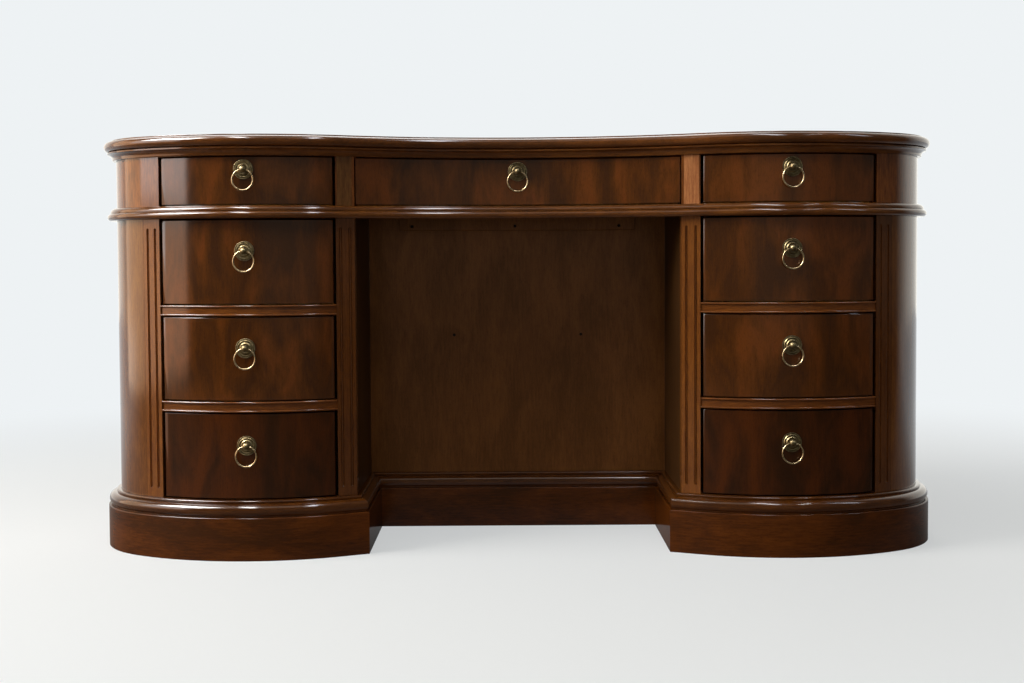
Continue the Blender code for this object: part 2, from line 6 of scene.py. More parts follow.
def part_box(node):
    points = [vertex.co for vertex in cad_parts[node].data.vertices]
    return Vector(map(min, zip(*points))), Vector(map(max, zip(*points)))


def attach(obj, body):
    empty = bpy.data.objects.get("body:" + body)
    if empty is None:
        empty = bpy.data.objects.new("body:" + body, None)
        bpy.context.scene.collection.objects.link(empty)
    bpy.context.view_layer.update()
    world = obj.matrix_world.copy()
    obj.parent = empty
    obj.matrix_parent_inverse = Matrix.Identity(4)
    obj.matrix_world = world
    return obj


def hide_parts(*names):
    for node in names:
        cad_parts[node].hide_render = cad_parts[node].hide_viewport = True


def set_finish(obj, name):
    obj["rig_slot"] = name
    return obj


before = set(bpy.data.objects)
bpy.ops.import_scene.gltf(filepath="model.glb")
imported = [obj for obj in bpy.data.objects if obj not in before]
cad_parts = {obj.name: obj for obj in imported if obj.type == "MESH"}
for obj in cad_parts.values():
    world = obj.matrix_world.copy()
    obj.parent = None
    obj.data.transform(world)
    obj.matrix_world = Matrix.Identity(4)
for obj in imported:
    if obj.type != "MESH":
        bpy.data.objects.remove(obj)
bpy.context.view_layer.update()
bpy.ops.object.select_all(action="DESELECT")


# Camera. A 50 mm lens on a 36 mm wide sensor, a little over half a metre up and 2.5 m in front
# of the drawers. The shift only frames the desk as the picture does.
CAMERA_PLACE = (-0.0221, -2.8659, 0.5397)
CAMERA_YAW = math.radians(-0.224)
CAMERA_DIP = math.radians(2.347)
CAMERA_ROLL = -0.0057
CAMERA_SHIFT_DOWN = 0.0259

bpy.ops.object.camera_add(location=CAMERA_PLACE)
camera = bpy.context.object
camera.name = "camera"
camera.data.lens = 50
camera.data.sensor_width = 36
camera.data.shift_y = -CAMERA_SHIFT_DOWN
level = Matrix.Rotation(CAMERA_YAW, 4, "Z") @ Matrix.Rotation(math.pi / 2 - CAMERA_DIP, 4, "X")
camera.matrix_world = (
    Matrix.Translation(CAMERA_PLACE) @ level @ Matrix.Rotation(CAMERA_ROLL, 4, "Z"))
bpy.context.scene.camera = camera


# Light. Plain soft lamps. Those that light the wood aren't mirrored in its lacquer, and those
# that draw the pale sheens and the highlights there light nothing else. Each is (name, place,
# aim, width, height, power, colour, use).
LAMPS = [
    ("window_left", (-3.0, -1.64, 1.50), (0, -1.64, 1.50), 1.92, 1.50, 46, "fff6f2", "mirror"),
    ("low_left", (-3.0, -1.62, 0.42), (0, -1.62, 0.42), 1.90, 0.66, 11, "ffd0b0", "mirror"),
    ("glow_left", (-3.0, 0.05, 1.17), (0, 0.05, 1.17), 1.45, 2.16, 29, "ffdab8", "mirror"),
    ("soft_left", (-3.0, -1.15, 2.10), (0, -0.30, 0.70), 1.80, 1.80, 120, "ffffff", "light"),
    ("soft_over", (-0.3, -1.40, 2.80), (-0.2, -0.33, 0.6), 3.00, 1.00, 26, "ffffff", "light"),
    ("fill_front", (0.2, -3.8, 0.65), (0, 0, 0.40), 2.60, 1.20, 18, "fff6e6", "light"),
    ("strip_over", (-0.7, -1.50, 2.80), (-0.5, -0.33, 0.6), 2.80, 1.40, 12, "fff0dc", "mirror"),
    ("strip_behind", (-0.7, 0.90, 2.80), (-0.5, 0.10, 0.6), 2.80, 2.00, 80, "ffffff", "mirror"),
    ("sky_left", (-2.5, -1.3, 2.7), (-0.7, -0.3, 0.75), 1.60, 1.30, 300, "ffffff", "mirror"),
    ("glint_left", (-0.95, -1.38, 2.63), (-2.65, -1.38, 1.73), 1.40, 0.90, 130, "ffffff", "mirror"),
    ("glint_middle", (0.48, -1.36, 2.63), (0.20, -0.31, 0.6), 0.20, 1.40, 17, "f4f6ff", "mirror"),
    ("glint_right", (1.27, -1.38, 2.60), (2.97, -1.38, 1.70), 1.40, 0.22, 34, "ffffff", "mirror"),
    ("glint_far_right", (2.42, -1.37, 2.63), (0.58, -0.32, 0.6), 0.16, 1.40, 12, "e8f0ff", "mirror"),
    ("card_front", (0.85, -4.3, 0.75), (0.85, 0, 0.75), 2.70, 2.20, 1.4, "c4d0c0", "mirror"),
    ("soft_back", (0.8, 3.2, 2.2), (0, 0.2, 0.40), 2.40, 1.40, 30, "ffffff", "light"),
]
AMBIENT = 0.10
AMBIENT_TINT = "d2c0a0"
DIM_FRONT = "8fa39b"
DIM_FRONT_STRENGTH = 0.30
PALE_BACK = "eeece4"
PALE_BACK_STRENGTH = 1.8
PALE_BACK_TURN = 0.15
PALE_BACK_STARTS = 0.08
PALE_BACK_FULL = 0.48
BACKDROP = "eef2f4"
FLOOR_PAINT = "e4e2dc"
FLOOR_BOUNCE = "50402a"
FLOOR_HALF = 9.0
FLOOR_NEAR = 0.8
FLOOR_FAR = 2.8
FLOOR_GLOW = 0.55
FLOOR_MIRROR_STARTS = -0.5
FLOOR_MIRROR_FULL = 0.6

bpy.context.scene.view_settings.view_transform = "Standard"


def linear(code):
    """An sRGB hex colour as linear red, green, blue and alpha."""
    shares = [int(code[i:i + 2], 16) / 255 for i in (0, 2, 4)]
    return [s / 12.92 if s <= 0.04045 else ((s + 0.055) / 1.055) ** 2.4 for s in shares] + [1]


def add(tree, kind, settings=None, **inputs):
    """Add a node with its settings; inputs are values, or other nodes' outputs to link."""
    node = tree.nodes.new(kind)
    for name, value in (settings or {}).items():
        setattr(node, name, value)
    for name, value in inputs.items():
        socket = node.inputs[int(name[1:])] if name[1:].isdigit() else node.inputs[name]
        if isinstance(value, bpy.types.NodeSocket):
            tree.links.new(value, socket)
        else:
            socket.default_value = value
    return node


for name, place, aim, width, height, power, colour, use in LAMPS:
    bpy.ops.object.light_add(type="AREA", location=place)
    lamp = bpy.context.object
    lamp.name = name
    lamp.data.shape = "RECTANGLE"
    lamp.data.size = width
    lamp.data.size_y = height
    lamp.data.energy = power
    lamp.data.color = linear(colour)[:3]
    lamp.visible_camera = False
    lamp.visible_diffuse = use == "light"
    lamp.visible_glossy = use == "mirror"
    lamp.rotation_euler = (Vector(aim) - Vector(place)).to_track_quat("-Z", "Y").to_euler()

# Past the desk the studio is pale to the eye, and brighter in the lacquer of the rounded ends.
# In front of the desk, where the drawers' lacquer mirrors it, it is dim.
world = bpy.data.worlds.new("studio")
bpy.context.scene.world = world
world.use_nodes = True
sky = world.node_tree
dim = sky.nodes["Background"]
dim.inputs["Color"].default_value = linear(AMBIENT_TINT)
dim.inputs["Strength"].default_value = AMBIENT
pale = add(sky, "ShaderNodeBackground", Color=linear(BACKDROP), Strength=1.0)
ray = add(sky, "ShaderNodeLightPath")
heading = add(sky, "ShaderNodeVectorMath", {"operation": "DOT_PRODUCT"},
              _0=add(sky, "ShaderNodeTexCoord").outputs["Generated"], _1=(PALE_BACK_TURN, 1, 0))
behind = add(sky, "ShaderNodeMapRange", Value=heading.outputs["Value"], _1=PALE_BACK_STARTS,
             _2=PALE_BACK_FULL)
pale_back = add(sky, "ShaderNodeBackground", Color=linear(PALE_BACK), Strength=PALE_BACK_STRENGTH)
dim_front = add(sky, "ShaderNodeBackground", Color=linear(DIM_FRONT), Strength=DIM_FRONT_STRENGTH)
mirrored = add(sky, "ShaderNodeMixShader", _0=behind.outputs[0], _1=dim_front.outputs[0],
               _2=pale_back.outputs[0])
unseen = add(sky, "ShaderNodeMixShader", _0=ray.outputs["Is Glossy Ray"], _1=dim.outputs[0],
             _2=mirrored.outputs[0])
shown = add(sky, "ShaderNodeMixShader", _0=ray.outputs["Is Camera Ray"], _1=unseen.outputs[0],
            _2=pale.outputs[0])
sky.links.new(shown.outputs[0], sky.nodes["World Output"].inputs["Surface"])

# The floor is painted pale and runs out into the backdrop's own colour, which the lacquer
# mirrors past the desk as well. The light that it throws back on the wood is a dim brown.
bpy.ops.mesh.primitive_plane_add(size=2 * FLOOR_HALF)
floor = bpy.context.object
floor.name = "floor"
paint = bpy.data.materials.new("pale_floor_paint")
paint.use_nodes = True
ground = paint.node_tree
matt = ground.nodes["Principled BSDF"]
eye = add(ground, "ShaderNodeLightPath")
bare = add(ground, "ShaderNodeMix", {"data_type": "RGBA"}, _0=eye.outputs["Is Camera Ray"],
           _6=linear(FLOOR_BOUNCE), _7=linear(FLOOR_PAINT))
ground.links.new(bare.outputs[2], matt.inputs["Base Color"])
matt.inputs["Roughness"].default_value = 0.9
here = add(ground, "ShaderNodeTexCoord").outputs["Object"]
spot = add(ground, "ShaderNodeVectorMath", {"operation": "LENGTH"}, _0=here)
fade = add(ground, "ShaderNodeMapRange", {"interpolation_type": "SMOOTHSTEP"},
           Value=spot.outputs["Value"], _1=FLOOR_NEAR, _2=FLOOR_FAR, _3=FLOOR_GLOW)
past = add(ground, "ShaderNodeMapRange", _1=FLOOR_MIRROR_STARTS, _2=FLOOR_MIRROR_FULL,
           Value=add(ground, "ShaderNodeSeparateXYZ", Vector=here).outputs["Y"])
mirror = add(ground, "ShaderNodeMath", {"operation": "MULTIPLY"},
             _0=past.outputs[0], _1=eye.outputs["Is Glossy Ray"])
either = add(ground, "ShaderNodeMath", {"operation": "MAXIMUM"},
             _0=mirror.outputs[0], _1=eye.outputs["Is Camera Ray"])
seen = add(ground, "ShaderNodeMath", {"operation": "MULTIPLY"},
           _0=fade.outputs[0], _1=either.outputs[0])
glow = add(ground, "ShaderNodeEmission", Color=linear(BACKDROP), Strength=1.0)
laid = add(ground, "ShaderNodeMixShader", _0=seen.outputs[0], _1=matt.outputs[0],
           _2=glow.outputs[0])
ground.links.new(laid.outputs[0], ground.nodes["Material Output"].inputs["Surface"])
floor.data.materials.append(paint)
bpy.ops.object.select_all(action="DESELECT")


# Desk top. One mahogany board cut to the kidney outline, with a thin step set back from a
# bullnose edge. It is veneered, stained dark and lacquered, and is screwed down from below.
BODY_DEPTH = 0.658
PEDESTAL_X = 0.4885
BULGE_RADIUS = 0.366
CENTRE_SAG = 0.1136
BULGE_TURN = math.radians(32.2)
END_RADIUS = 0.166
REAR_RADIUS = 0.37
TOP_BOTTOM = 0.737
TOP_LEDGE = 0.7575
TOP_HEIGHT = 0.760
TOP_STEP_OUT = 0.009
TOP_NOSE_OUT = 0.0222
TOP_NOSE_RADIUS = 0.0095
SOFT_EDGE = 0.0005
HAIRLINE = 0.0003
MERGE = 0.00002
SMOOTH = math.radians(20)

# The outline is a chain of tangent arcs: (centre, turn, steps), from the middle of the front.
# Sections are point by point, as (out from the outline, height) in metres.
centres_apart = (PEDESTAL_X ** 2 + CENTRE_SAG ** 2) / (2 * CENTRE_SAG)
hollow_radius = centres_apart - BULGE_RADIUS
hollow_turn = math.asin(PEDESTAL_X / centres_apart)
middle_y = CENTRE_SAG - BODY_DEPTH / 2
bulge_y = BULGE_RADIUS - BODY_DEPTH / 2
end_x = PEDESTAL_X + (BULGE_RADIUS - END_RADIUS) * math.sin(BULGE_TURN)
end_y = bulge_y - (BULGE_RADIUS - END_RADIUS) * math.cos(BULGE_TURN)
rear_x = end_x + END_RADIUS - REAR_RADIUS
to_back = BODY_DEPTH / 2 - end_y
back_radius = (rear_x ** 2 + to_back ** 2 - REAR_RADIUS ** 2) / (2 * (to_back - REAR_RADIUS))
back_turn = math.asin(rear_x / (back_radius - REAR_RADIUS))
HOLLOW = ((0, middle_y - hollow_radius), -hollow_turn, 12)
BULGE = ((PEDESTAL_X, bulge_y), hollow_turn + BULGE_TURN, 28)
END = ((end_x, end_y), math.pi / 2 - BULGE_TURN, 26)
REAR = ((rear_x, end_y), math.pi / 2 - back_turn, 26)
BACK = ((0, BODY_DEPTH / 2 - back_radius), back_turn, 12)


def bow(centre, radius, start, stop, steps):
    """Points of an arc in a section, as (out, height), between two angles in degrees."""
    turns = [math.radians(start + (stop - start) * i / steps) for i in range(steps + 1)]
    return [(centre[0] + radius * math.cos(t), centre[1] + radius * math.sin(t)) for t in turns]


def draw(section, closed=True):
    """Draw a section point by point, as (out, height), across the middle of the front."""
    out, up = section[0]
    bpy.ops.mesh.primitive_plane_add(size=MERGE, location=(0, middle_y - out, up))
    bpy.ops.object.transform_apply(location=True, rotation=False, scale=False)
    bpy.ops.object.mode_set(mode="EDIT")
    bpy.ops.mesh.merge(type="CENTER")
    following = section[1:] + section[:1] if closed else section[1:]
    for (out0, up0), (out1, up1) in zip(section, following):
        step = (0, out0 - out1, up1 - up0)
        bpy.ops.mesh.extrude_region_move(TRANSFORM_OT_translate={"value": step})
    bpy.ops.mesh.select_all(action="SELECT")
    bpy.ops.mesh.remove_doubles(threshold=MERGE)
    bpy.ops.mesh.select_all(action="SELECT")


def carry(*arcs):
    """Spin what is selected along the arcs, one after the other."""
    for (x, y), turn, steps in arcs:
        bpy.ops.mesh.spin(steps=steps, angle=-turn, center=(x, y, 0), axis=(0, 0, 1))


def cut_off(place, facing):
    """Slice the piece, take off the side that the plane faces, and close the cut."""
    bpy.ops.mesh.select_all(action="SELECT")
    bpy.ops.mesh.bisect(plane_co=place, plane_no=facing, use_fill=True, clear_outer=True)


def pick(test):
    """Select the vertices that pass a test of their place."""
    bpy.ops.mesh.select_mode(type="VERT")
    bpy.ops.mesh.select_all(action="DESELECT")
    bpy.ops.object.mode_set(mode="OBJECT")
    for vert in bpy.context.object.data.vertices:
        vert.select = test(vert.co)
    bpy.ops.object.mode_set(mode="EDIT")


def fill(test):
    """Close the ring of edges whose vertices pass the test."""
    pick(test)
    bpy.ops.mesh.edge_face_add()


def true_up():
    """Merge doubles and turn the faces outwards."""
    bpy.ops.mesh.select_all(action="SELECT")
    bpy.ops.mesh.remove_doubles(threshold=MERGE)
    bpy.ops.mesh.select_all(action="SELECT")
    bpy.ops.mesh.normals_make_consistent(inside=False)
    bpy.ops.object.mode_set(mode="OBJECT")


def apply(kind, **settings):
    """Add a modifier to the piece in hand and apply it."""
    bpy.ops.object.modifier_add(type=kind)
    modifier = bpy.context.object.modifiers[-1]
    for name, value in settings.items():
        setattr(modifier, name, value)
    bpy.ops.object.modifier_apply(modifier=modifier.name)


def both_sides():
    """Mirror the half piece in hand over the desk's middle plane."""
    bpy.ops.object.mode_set(mode="OBJECT")
    apply("MIRROR", merge_threshold=MERGE)
    bpy.ops.object.mode_set(mode="EDIT")


def ease(width, segments=2):
    """Round every arris of the piece in hand."""
    apply("BEVEL", width=width, segments=segments, limit_method="ANGLE",
          angle_limit=math.radians(40), use_clamp_overlap=True)


def fit(name, material, slot, nodes=(), body="carcass"):
    """Name the piece in hand, finish it, and fix it to its body in place of the nodes."""
    piece = bpy.context.object
    piece.name = name
    bpy.ops.object.shade_smooth_by_angle(angle=SMOOTH)
    piece.data.materials.clear()
    piece.data.materials.append(material)
    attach(piece, body)
    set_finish(piece, slot)
    if nodes:
        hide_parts(*nodes)
    bpy.ops.object.select_all(action="DESELECT")
    return piece


def other_side(piece, name, nodes=(), body="carcass"):
    """A copy of a right-hand piece, turned over for the left, with its own mesh."""
    bpy.context.view_layer.objects.active = piece
    piece.select_set(True)
    bpy.ops.object.duplicate()
    copy = bpy.context.object
    for key in [key for key in copy.keys() if key.startswith("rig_")]:
        del copy[key]
    copy.parent = None
    copy.matrix_world = Matrix.Scale(-1, 4, (1, 0, 0))
    bpy.ops.object.transform_apply(location=True, rotation=True, scale=True)
    bpy.ops.object.mode_set(mode="EDIT")
    true_up()
    return fit(name, piece.data.materials[0], piece["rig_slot"], nodes, body)


# Mahogany veneer and solid mahogany, stained and sprayed with lacquer: cloudy dark patches,
# fine drawn-out fibres and short open pores under a clear coat that mirrors softly. The fibres
# and pores of real mahogany are a few tenths of a millimetre, drawn coarser here so they show.
CLOUD = 0.058
FIBRE = 0.0030
PORE = 0.0007
PORE_SHADE = 0.72
PORE_DEPTH = 0.0002
# Each layer is (width, how far the grain draws it out, detail, warp).
LAYERS = ((CLOUD, 0.5, 3, 0.7), (FIBRE, 1.0, 4, 0.2), (PORE, 1.0, 1, 0))
DARK_AT = 0.40
MIDDLE_AT = 0.50
LIGHT_AT = 0.62
UPRIGHT = (1, 1, 9)
ROUND = (9, 9, 1)
ALONG = (9, 1, 1)


def mahogany(name, dark, middle, light, grain, lacquer=0.13, coat=1.0, cloudy=0.6):
    """Figured wood under lacquer; the grain says how far it is drawn out along x, y and z."""
    material = bpy.data.materials.new(name)
    material.use_nodes = True
    tree = material.node_tree
    shader = tree.nodes["Principled BSDF"]
    place = add(tree, "ShaderNodeTexCoord").outputs["Object"]
    figure = []
    for size, pull, detail, warp in LAYERS:
        scale = [1 / (size * stretch ** pull) for stretch in grain]
        spread = add(tree, "ShaderNodeMapping", Vector=place, Scale=scale)
        noise = add(tree, "ShaderNodeTexNoise", Vector=spread.outputs[0], Scale=1.0,
                    Detail=detail, Roughness=0.55, Distortion=warp)
        figure.append(noise.outputs["Fac"])
    cloud = add(tree, "ShaderNodeMath", {"operation": "MULTIPLY"}, _0=figure[0], _1=cloudy)
    fibre = add(tree, "ShaderNodeMath", {"operation": "MULTIPLY_ADD"},
                _0=figure[1], _1=1 - cloudy, _2=cloud.outputs[0])
    tone = add(tree, "ShaderNodeValToRGB", Fac=fibre.outputs[0])
    ramp = tone.color_ramp
    ramp.elements[0].position = DARK_AT
    ramp.elements[0].color = linear(dark)
    ramp.elements[1].position = LIGHT_AT
    ramp.elements[1].color = linear(light)
    ramp.elements.new(MIDDLE_AT).color = linear(middle)
    open_pore = add(tree, "ShaderNodeMapRange", Value=figure[2], _1=0.34, _2=0.44,
                    _3=PORE_SHADE, _4=1.0)
    stained = add(tree, "ShaderNodeMix", {"data_type": "RGBA", "blend_type": "MULTIPLY"},
                  _0=1.0, _6=tone.outputs[0], _7=open_pore.outputs[0])
    tree.links.new(stained.outputs[2], shader.inputs["Base Color"])
    worn = add(tree, "ShaderNodeMapRange", Value=figure[0], _1=0.3, _2=0.7, _3=0.50, _4=0.62)
    tree.links.new(worn.outputs[0], shader.inputs["Roughness"])
    pitted = add(tree, "ShaderNodeBump", Strength=0.25, Distance=PORE_DEPTH,
                 Height=open_pore.outputs[0])
    tree.links.new(pitted.outputs[0], shader.inputs["Normal"])
    shader.inputs["Specular IOR Level"].default_value = 0.0
    shader.inputs["Coat Weight"].default_value = coat
    shader.inputs["Coat Roughness"].default_value = lacquer
    return material


top_wood = mahogany("mahogany_top_veneer", "502c0f", "5f3512", "6f3f17", ALONG)
# The field of the top is rubbed to a satin sheen, and its moulded edge stays bright.
field_wood = mahogany("mahogany_top_field", "44240c", "5b3110", "744218", ALONG, 0.2, 0.35)
nose = (TOP_NOSE_OUT - TOP_NOSE_RADIUS, TOP_LEDGE - TOP_NOSE_RADIUS)
top_section = [(TOP_STEP_OUT - SOFT_EDGE, TOP_HEIGHT),
               (TOP_STEP_OUT - 0.3 * SOFT_EDGE, TOP_HEIGHT - 0.0002),
               (TOP_STEP_OUT, TOP_HEIGHT - SOFT_EDGE), (TOP_STEP_OUT, TOP_LEDGE + 0.0002),
               (TOP_STEP_OUT + 0.0003, TOP_LEDGE)]
top_section += bow(nose, TOP_NOSE_RADIUS, 90, -90, 16)
top_section += [(0.0085, TOP_LEDGE - 2 * TOP_NOSE_RADIUS), (0.0080, TOP_BOTTOM)]
draw(top_section, closed=False)
carry(HOLLOW, BULGE, END, REAR, BACK)
both_sides()
fill(lambda co: co.z > TOP_HEIGHT - MERGE)
fill(lambda co: co.z < TOP_BOTTOM + MERGE)
true_up()
board = fit("desk_top_board", top_wood, "top_mahogany", ["desk_top"])
board.data.materials.append(field_wood)
for face in board.data.polygons:
    if face.center.z > TOP_HEIGHT - MERGE:
        face.material_index = 1


# Cove moulding. Solid mahogany, run with a hollow profile, bent round the desk in lengths and
# glued under the top board against the frieze.
COVE_BOTTOM = 0.7225
moulding_wood = mahogany("mahogany_moulding", "522c0d", "603510", "704115", ROUND, 0.12, 1.0, 0.5)
cove_section = [(-0.004, COVE_BOTTOM), (0.0056, COVE_BOTTOM), (0.0066, 0.7229), (0.0069, 0.7240)]
cove_section += bow((0.0162, 0.7250), 0.0092, 180, 95, 9)
cove_section += [(0.0160, 0.7347), (0.0160, 0.7370), (0.0154, 0.7376), (0.0092, 0.7376),
                 (0.0088, 0.7366), (-0.004, 0.7366)]
draw(cove_section)
carry(HOLLOW, BULGE, END, REAR, BACK)
both_sides()
true_up()
fit("cove_moulding_run", moulding_wood, "moulding_mahogany", ["cove_moulding"])


# Frieze. Boards bent to the outline and veneered, with the two plain stiles beside each
# drawer opening, glued up as one band that stands on the deck.
FRIEZE_BOTTOM = 0.6338
FRIEZE_TOP = 0.7367
FRIEZE_THICKNESS = 0.020
STILE_INNER_X = 0.297
STILE_OUTER_X = 0.3295
OPENING_OUTER_X = 0.64808
STILE_END_X = 0.68108
PARTITION_INNER_X = 0.304
PARTITION_OUTER_X = 0.322
PARTITION_FRONT_Y = -0.255
PARTITION_BACK_Y = 0.262
OPENING_FRONT_Y = -0.40
OPENING_BACK_Y = -0.15
ARRIS = 0.001
frieze_wood = mahogany("mahogany_frieze_veneer", "552b0d", "6d3a13", "874b1a", UPRIGHT, cloudy=0.5)
# The stiles beside the centre drawer are solid. The right one faces the light from the left, and its
# wood is painted lighter for it: painted light and sheen.
left_stile_wood = mahogany("mahogany_frieze_stile", "5c3818", "68421e", "744d24", UPRIGHT,
                           cloudy=0.4)
lit_frieze_stile_wood = mahogany("mahogany_frieze_stile_painted_light", "965d36", "a96c41", "bb7d4d", UPRIGHT,
                            cloudy=0.4)
inside_wood = mahogany("mahogany_inside", "331b0a", "44250e", "563314", ALONG, 0.4, 0.2, 0.5)


def block(low, high):
    """A block between two corners, in edit mode."""
    middle = [(a + b) / 2 for a, b in zip(low, high)]
    bpy.ops.mesh.primitive_cube_add(size=1, location=middle)
    bpy.context.object.scale = [b - a for a, b in zip(low, high)]
    bpy.ops.object.transform_apply(location=True, rotation=True, scale=True)
    bpy.ops.object.mode_set(mode="EDIT")


def carve(piece, cutter):
    """Cut the cutter's shape out of the piece and remove the cutter."""
    bpy.ops.object.select_all(action="DESELECT")
    bpy.context.view_layer.objects.active = piece
    piece.select_set(True)
    apply("BOOLEAN", operation="DIFFERENCE", solver="EXACT", object=cutter)
    bpy.data.objects.remove(cutter, do_unlink=True)


def join_up(pieces):
    """Join pieces into the first one, which is then in hand."""
    bpy.ops.object.select_all(action="DESELECT")
    for piece in pieces:
        piece.select_set(True)
    bpy.context.view_layer.objects.active = pieces[0]
    bpy.ops.object.join()


draw([(-FRIEZE_THICKNESS, FRIEZE_BOTTOM), (0, FRIEZE_BOTTOM), (0, FRIEZE_TOP),
      (-FRIEZE_THICKNESS, FRIEZE_TOP)])
carry(HOLLOW, BULGE, END, REAR, BACK)
both_sides()
true_up()
frieze = bpy.context.object
for low, high in ((-OPENING_OUTER_X, -STILE_OUTER_X), (-STILE_INNER_X, STILE_INNER_X),
                  (STILE_OUTER_X, OPENING_OUTER_X)):
    block((low, OPENING_FRONT_Y, FRIEZE_BOTTOM - 0.01),
          (high, OPENING_BACK_Y, COVE_BOTTOM - HAIRLINE))
    bpy.ops.object.mode_set(mode="OBJECT")
    carve(frieze, bpy.context.object)
band = fit("frieze_band", frieze_wood, "frieze_mahogany", ["frieze_frame"])
band.data.materials.append(left_stile_wood)
band.data.materials.append(lit_frieze_stile_wood)
# The right stile beside the centre drawer takes the lighter wood: painted light and sheen from the
# left.
for face in band.data.polygons:
    if STILE_INNER_X < abs(face.center.x) < STILE_OUTER_X and face.center.y < 0:
        face.material_index = 1 if face.center.x < 0 else 2

block((PARTITION_INNER_X, PARTITION_FRONT_Y, FRIEZE_BOTTOM),
      (PARTITION_OUTER_X, PARTITION_BACK_Y, FRIEZE_TOP))
bpy.ops.mesh.bevel(offset=ARRIS, segments=1)
true_up()
partition = fit("right_frieze_partition", inside_wood, "inside_mahogany")
other_side(partition, "left_frieze_partition")


# Waist moulding. Solid mahogany with a round nose, a quirk and an ovolo over it, bent round
# the desk and glued to the deck between the pedestals and the frieze.
WAIST_BOTTOM = 0.6105
WAIST_TOP = 0.6335
waist_section = [(0.0004, WAIST_BOTTOM), (0.0095, WAIST_BOTTOM)]
waist_section += bow((0.0106, 0.6172), 0.0066, -88, 82, 14)
waist_section += [(0.0107, 0.6240), (0.0107, 0.6247), (0.0118, 0.6250)]
waist_section += bow((0.0034, 0.6250), 0.0084, 4, 76, 8)
waist_section += [(0.0046, WAIST_TOP), (0.0004, WAIST_TOP)]
draw(waist_section)
carry(HOLLOW, BULGE, END, REAR, BACK)
both_sides()
true_up()
fit("waist_moulding_run", moulding_wood, "moulding_mahogany", ["waist_moulding"])


# Stiles. Solid mahogany uprights shaped to the bowed front, each with two round-ended flutes
# cut by a core-box bit. They are glued to the cheeks and to the bent end panels.
STILE_BOTTOM = 0.1063
STILE_TOP = 0.6222
STILE_THICKNESS = 0.022
FLUTE_RADIUS = 0.0026
FLUTE_WALL = 0.0022
FLUTE_BOTTOM = 0.122
FLUTE_TOP = 0.5945
INNER_FLUTE_SPACING = 0.0160
OUTER_FLUTE_SPACING = 0.0152
stile_wood = mahogany("mahogany_stile", "542c0d", "5c320f", "653812", UPRIGHT, cloudy=0.4)
# The right inner stile and the left outer one face the light from the left, and their wood is
# painted lighter for it: painted light and sheen.
lit_stile_wood = mahogany("mahogany_stile_painted_light", "6d3c16", "774418", "834c1b", UPRIGHT,
                           cloudy=0.4)


def front_y(x, out=0):
    """The front's y at a place along it, on the hollow or on the bulge."""
    reach = math.sin(hollow_turn)
    if x < (hollow_radius - out) * reach:
        return HOLLOW[0][1] + math.sqrt((hollow_radius - out) ** 2 - x ** 2)
    return bulge_y - math.sqrt((BULGE_RADIUS + out) ** 2 - (x - PEDESTAL_X) ** 2)


for kind, x0, x1, spacing in (("inner", STILE_INNER_X, STILE_OUTER_X, INNER_FLUTE_SPACING),
                              ("outer", OPENING_OUTER_X, STILE_END_X, OUTER_FLUTE_SPACING)):
    draw([(-STILE_THICKNESS, STILE_BOTTOM), (0, STILE_BOTTOM), (0, STILE_TOP),
          (-STILE_THICKNESS, STILE_TOP)])
    carry(HOLLOW, BULGE, END)
    cut_off((x0, 0, 0), (-1, 0, 0))
    cut_off((x1, 0, 0), (1, 0, 0))
    true_up()
    stile = bpy.context.object
    for x in ((x0 + x1 - spacing) / 2, (x0 + x1 + spacing) / 2):
        middle = (x, front_y(x) + FLUTE_WALL, (FLUTE_BOTTOM + FLUTE_TOP) / 2)
        bpy.ops.mesh.primitive_uv_sphere_add(radius=FLUTE_RADIUS, segments=20, ring_count=10,
                                             location=middle)
        bpy.ops.object.transform_apply(location=True, rotation=True, scale=True)
        cutter = bpy.context.object
        bpy.ops.object.mode_set(mode="EDIT")
        reach = (FLUTE_TOP - FLUTE_BOTTOM) / 2 - FLUTE_RADIUS
        pick(lambda co: co.z > middle[2] + MERGE)
        bpy.ops.transform.translate(value=(0, 0, reach))
        pick(lambda co: co.z < middle[2] + MERGE)
        bpy.ops.transform.translate(value=(0, 0, -reach))
        pick(lambda co: co.y < middle[1] - MERGE)
        bpy.ops.transform.translate(value=(0, -2 * FLUTE_WALL, 0))
        bpy.ops.object.mode_set(mode="OBJECT")
        carve(stile, cutter)
    right = fit(f"right_{kind}_stile_fluted", stile_wood, "stile_mahogany", [f"right_{kind}_stile"])
    left = other_side(right, f"left_{kind}_stile_fluted", [f"left_{kind}_stile"])
    # The two stiles that face the light from the left take the lighter wood: painted light.
    window_facing_stile = right if kind == "inner" else left
    window_facing_stile.data.materials[0] = lit_stile_wood


# End panels. Thin mahogany plies bent in a mould and veneered with the grain upright, running
# from the outer stile round the end to the bookcase at the back.
CASE_THICKNESS = 0.018
CHEEK_OUTER_X = 0.315
panel_wood = mahogany("mahogany_bent_panel", "5e3411", "6c3e15", "7a4a1a", UPRIGHT, cloudy=0.55)
draw([(-CASE_THICKNESS, STILE_BOTTOM), (0, STILE_BOTTOM), (0, STILE_TOP),
      (-CASE_THICKNESS, STILE_TOP)])
carry(HOLLOW, BULGE, END)
cut_off((STILE_END_X + HAIRLINE, 0, 0), (-1, 0, 0))
pick(lambda co: co.y > end_y - MERGE)
carry(REAR, BACK)
cut_off((CHEEK_OUTER_X + HAIRLINE, 0, 0), (-1, 0, 0))
true_up()
panel = fit("right_end_panel_bent", panel_wood, "panel_mahogany", ["right_end_panel"])
other_side(panel, "left_end_panel_bent", ["left_end_panel"])


